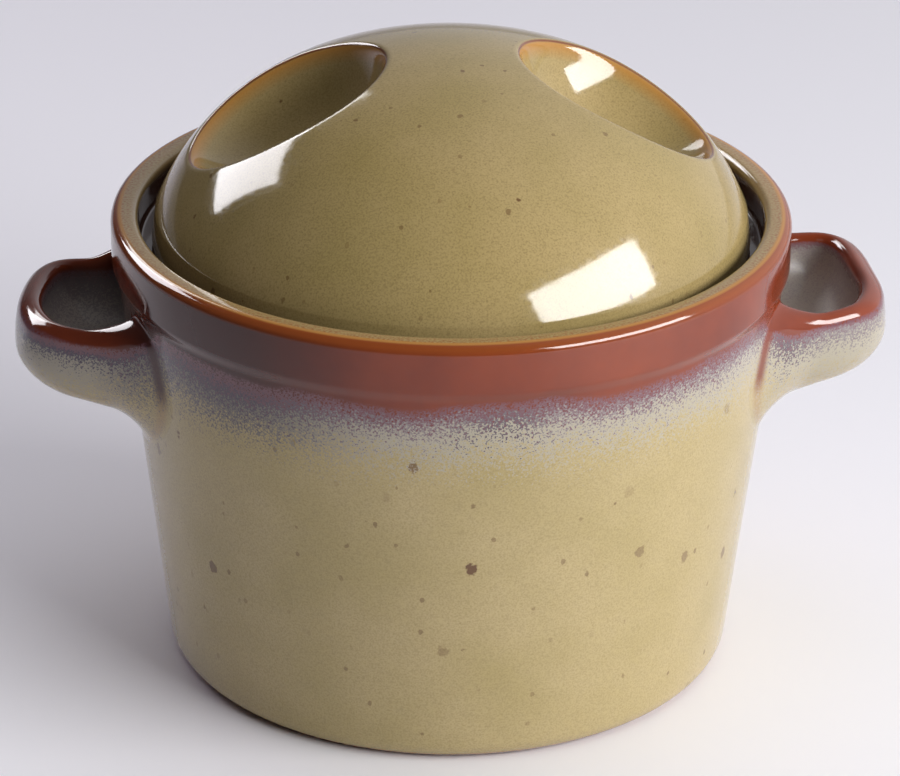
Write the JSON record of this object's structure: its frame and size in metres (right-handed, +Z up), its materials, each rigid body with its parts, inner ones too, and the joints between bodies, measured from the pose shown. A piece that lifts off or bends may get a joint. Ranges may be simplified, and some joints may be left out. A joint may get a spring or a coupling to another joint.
{
  "type": "lidded soup pot",
  "caption": "Round glazed stoneware pot with two cupped lug handles and a domed lift-off lid with finger scoops.",
  "frame": {"origin": "centre of the foot ring, on the table", "axes": "+Z up along the pot's axis, +X towards the right handle as seen from the front"},
  "size_m": [0.1598, 0.124, 0.1167],
  "materials": {
    "body_glaze": "glossy",
    "handle_glaze": "glossy",
    "lid_glaze": "glossy"
  },
  "bodies": {
    "pot": {"pot_body": "body_glaze", "left_handle": "handle_glaze", "right_handle": "handle_glaze"},
    "lid": {"lid": "lid_glaze"}
  },
  "joints": [
    {"name": "lid_lift", "type": "slide", "parent": "pot", "child": "lid", "axis": [0, 0, 1], "range_m": [0, 0.12]}
  ]
}
